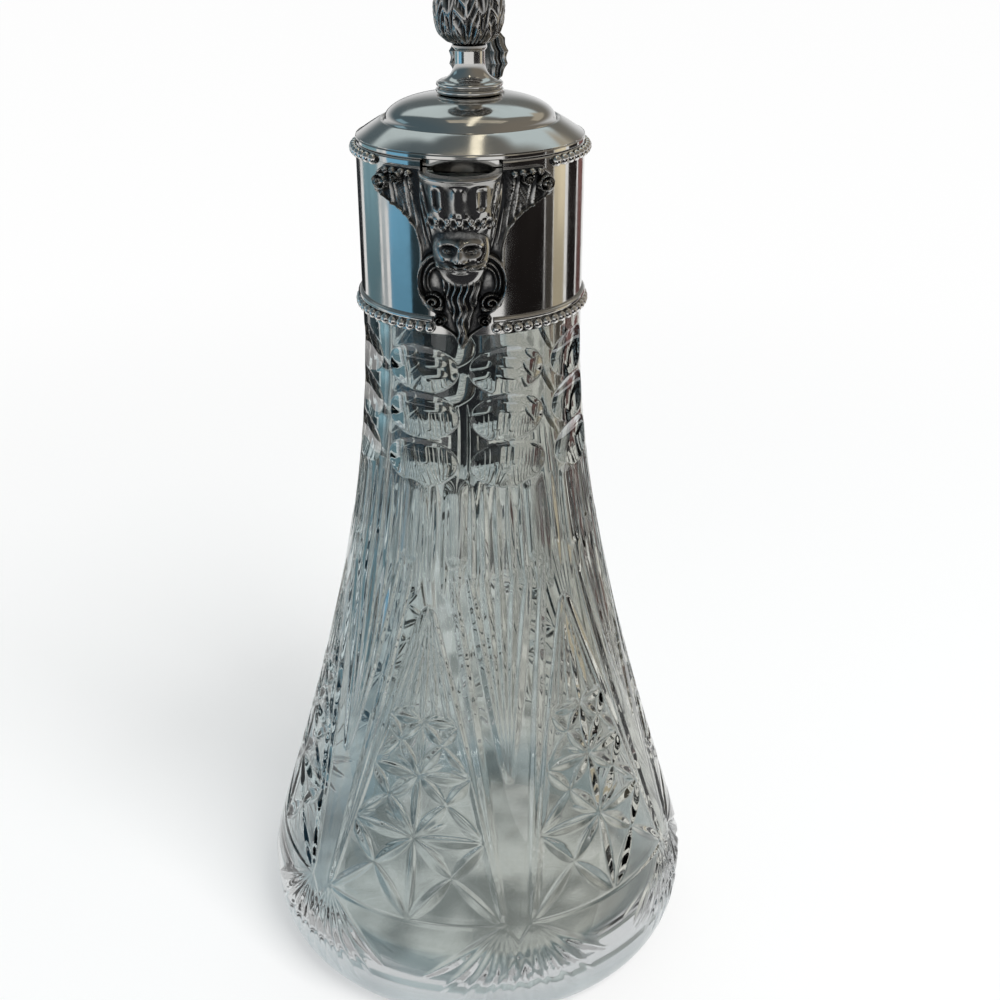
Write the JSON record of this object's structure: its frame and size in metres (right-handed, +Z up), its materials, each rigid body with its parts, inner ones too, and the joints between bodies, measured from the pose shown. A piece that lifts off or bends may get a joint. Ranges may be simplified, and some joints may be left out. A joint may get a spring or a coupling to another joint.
{
  "type": "claret jug",
  "caption": "Tall bell-shaped cut-glass claret jug with a plated collar, bearded-mask pouring spout, hinged domed lid with bud finial, leaf thumbpiece and scroll handle.",
  "frame": {"origin": "centre of the foot, on the surface that the jug stands on", "axes": "+Z up along the jug's axis; the spout points along -Y and the handle along +Y; +X is the pourer's left when the handle is held from behind"},
  "size_m": [0.1376, 0.1569, 0.3058],
  "materials": {
    "cut_glass": "clear cut crystal, polished",
    "silver_plate": "aged silver plate, oxidised in the recesses",
    "plaster": "matt white plaster",
    "pin_steel": "plain turned metal"
  },
  "bodies": {
    "jug": {"glass_body": "cut_glass", "neck_plaster": "plaster", "neck_shelf": "silver_plate", "collar_band": "silver_plate", "lower_moulding": "silver_plate", "lower_bead_border": "silver_plate", "upper_bead_border": "silver_plate", "rim_ring": "silver_plate", "mask_spout": "silver_plate", "handle_bracket": "silver_plate", "handle": "silver_plate", "collar_hinge_leaf": "silver_plate", "hinge_pin": "pin_steel"},
    "lid": {"lid_hinge_leaf": "silver_plate", "lid_dome": "silver_plate", "lid_bezel": "silver_plate", "thumbpiece": "silver_plate", "finial_base": "silver_plate", "finial_bud": "silver_plate", "finial_stud": "pin_steel", "finial_washer": "pin_steel", "finial_nut": "pin_steel"}
  },
  "joints": [
    {"name": "lid_hinge", "type": "hinge", "parent": "jug", "child": "lid", "pos_m": [0, 0.0346, 0.25726], "axis": [-1, 0, 0], "range_deg": [0, 90]}
  ]
}
